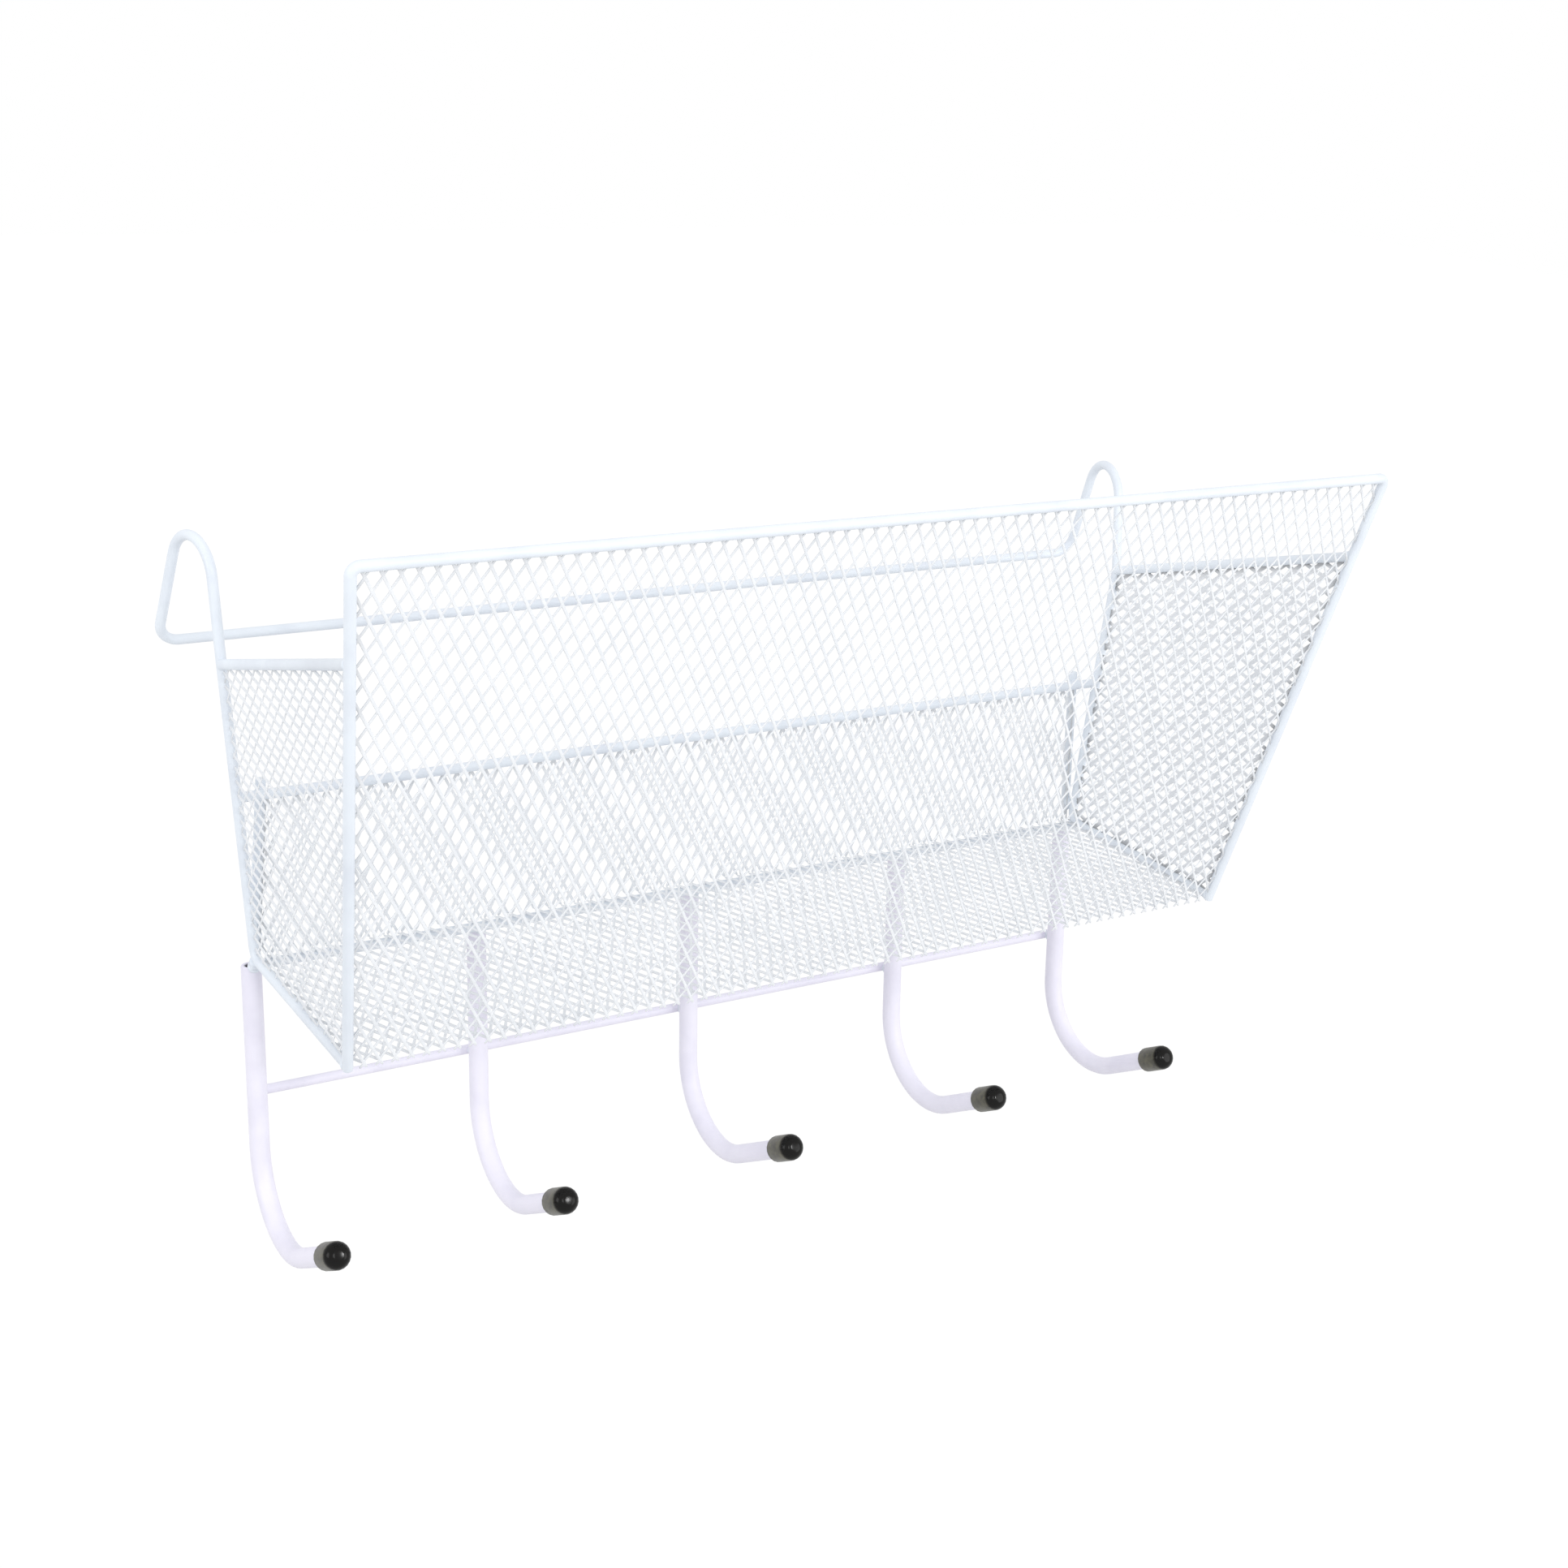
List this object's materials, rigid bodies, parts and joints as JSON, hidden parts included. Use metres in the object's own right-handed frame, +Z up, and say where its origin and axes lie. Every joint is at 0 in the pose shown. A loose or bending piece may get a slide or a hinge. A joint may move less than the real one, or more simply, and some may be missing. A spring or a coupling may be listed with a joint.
{
  "type": "hanging bedside basket",
  "caption": "White wire basket with diamond mesh walls and a tall sloping front, hung from a bed rail by two wire arches, with a row of capped tube hooks below.",
  "frame": {"origin": "where the bed rail bears on the underside of the hanger, midway between its two arches", "axes": "+X along the rail, -Y towards the sloping front of the basket, +Z up"},
  "size_m": [0.4388, 0.2009, 0.3119],
  "materials": {
    "powder_coat": "satin white powder coat",
    "cap_vinyl": "glossy black vinyl"
  },
  "bodies": {
    "root": {"hanger_wire": "powder_coat", "front_frame": "powder_coat", "left_end_rail": "powder_coat", "right_end_rail": "powder_coat", "back_rail": "powder_coat", "left_back_post": "powder_coat", "right_back_post": "powder_coat", "back_floor_rail": "powder_coat", "hook_tie_bar": "powder_coat", "front_mesh": "powder_coat", "floor_mesh": "powder_coat", "back_mesh": "powder_coat", "left_end_mesh": "powder_coat", "right_end_mesh": "powder_coat", "hook_1": "powder_coat", "hook_2": "powder_coat", "hook_3": "powder_coat", "hook_4": "powder_coat", "hook_5": "powder_coat", "hook_cap_1": "cap_vinyl", "hook_cap_2": "cap_vinyl", "hook_cap_3": "cap_vinyl", "hook_cap_4": "cap_vinyl", "hook_cap_5": "cap_vinyl"}
  },
  "joints": []
}
